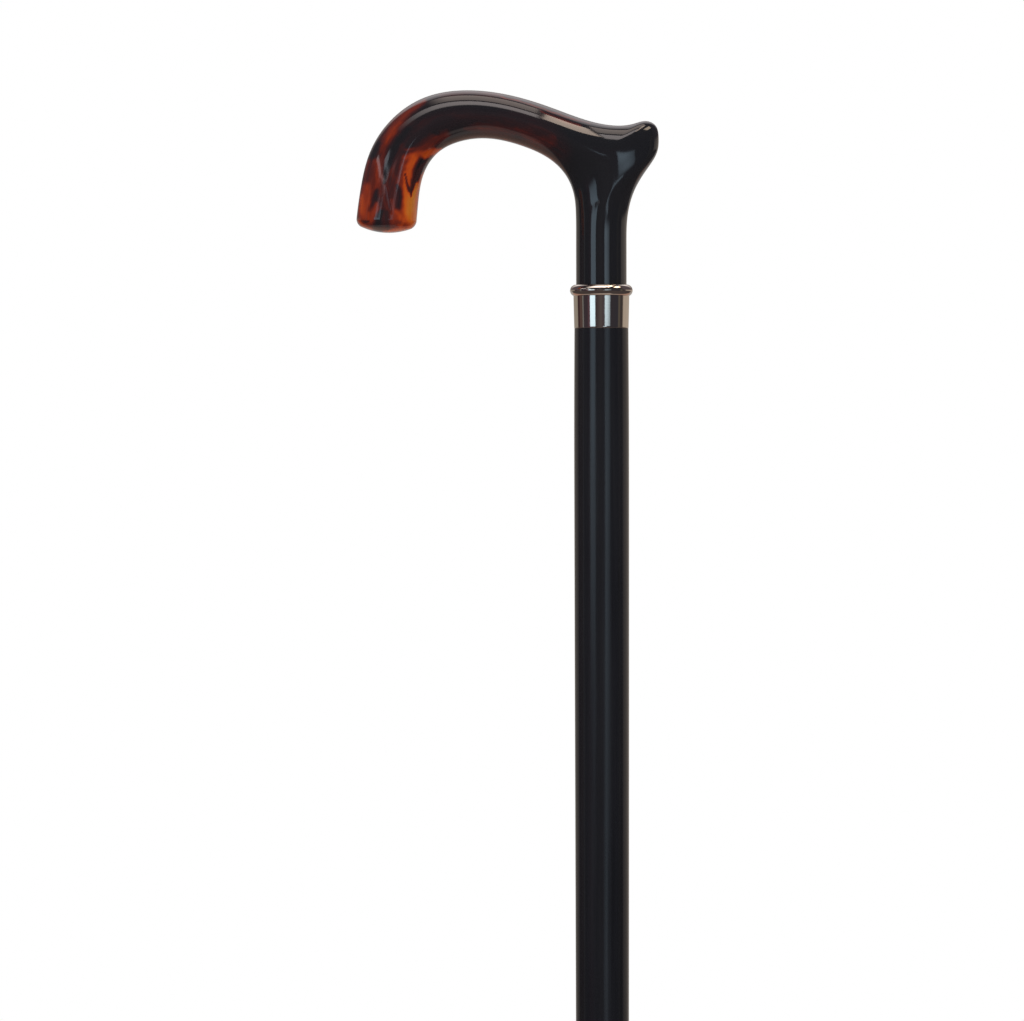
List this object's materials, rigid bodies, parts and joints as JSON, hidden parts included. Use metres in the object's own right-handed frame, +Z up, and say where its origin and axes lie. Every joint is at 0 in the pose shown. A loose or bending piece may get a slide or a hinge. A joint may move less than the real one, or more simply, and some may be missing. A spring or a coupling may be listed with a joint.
{
  "type": "derby handle cane",
  "caption": "Walking cane with a sculpted derby handle in dark tortoiseshell acrylic, plated collar with a beaded rim, tapered black wooden shaft and ribbed rubber ferrule.",
  "frame": {"origin": "middle of the ferrule's sole, where the cane meets the ground, on the shaft's axis", "axes": "+Z up the shaft's axis, +X towards the nose of the handle, -X towards the drop end, +Y away from a viewer who sees the handle point left"},
  "size_m": [0.1104, 0.036, 0.914],
  "materials": {
    "handle_acrylic": "polished cast acrylic, dark tortoiseshell with amber streaks",
    "collar_plating": "polished nickel-toned plating on brass",
    "shaft_lacquer": "beech, satin black lacquer",
    "stud_steel": "zinc-plated steel",
    "ferrule_rubber": "matt black moulded rubber",
    "washer_steel": "plain pressed steel"
  },
  "bodies": {
    "root": {"handle": "handle_acrylic", "collar": "collar_plating", "shaft": "shaft_lacquer", "joining_stud": "stud_steel", "ferrule": "ferrule_rubber", "ferrule_washer": "washer_steel"}
  },
  "joints": []
}
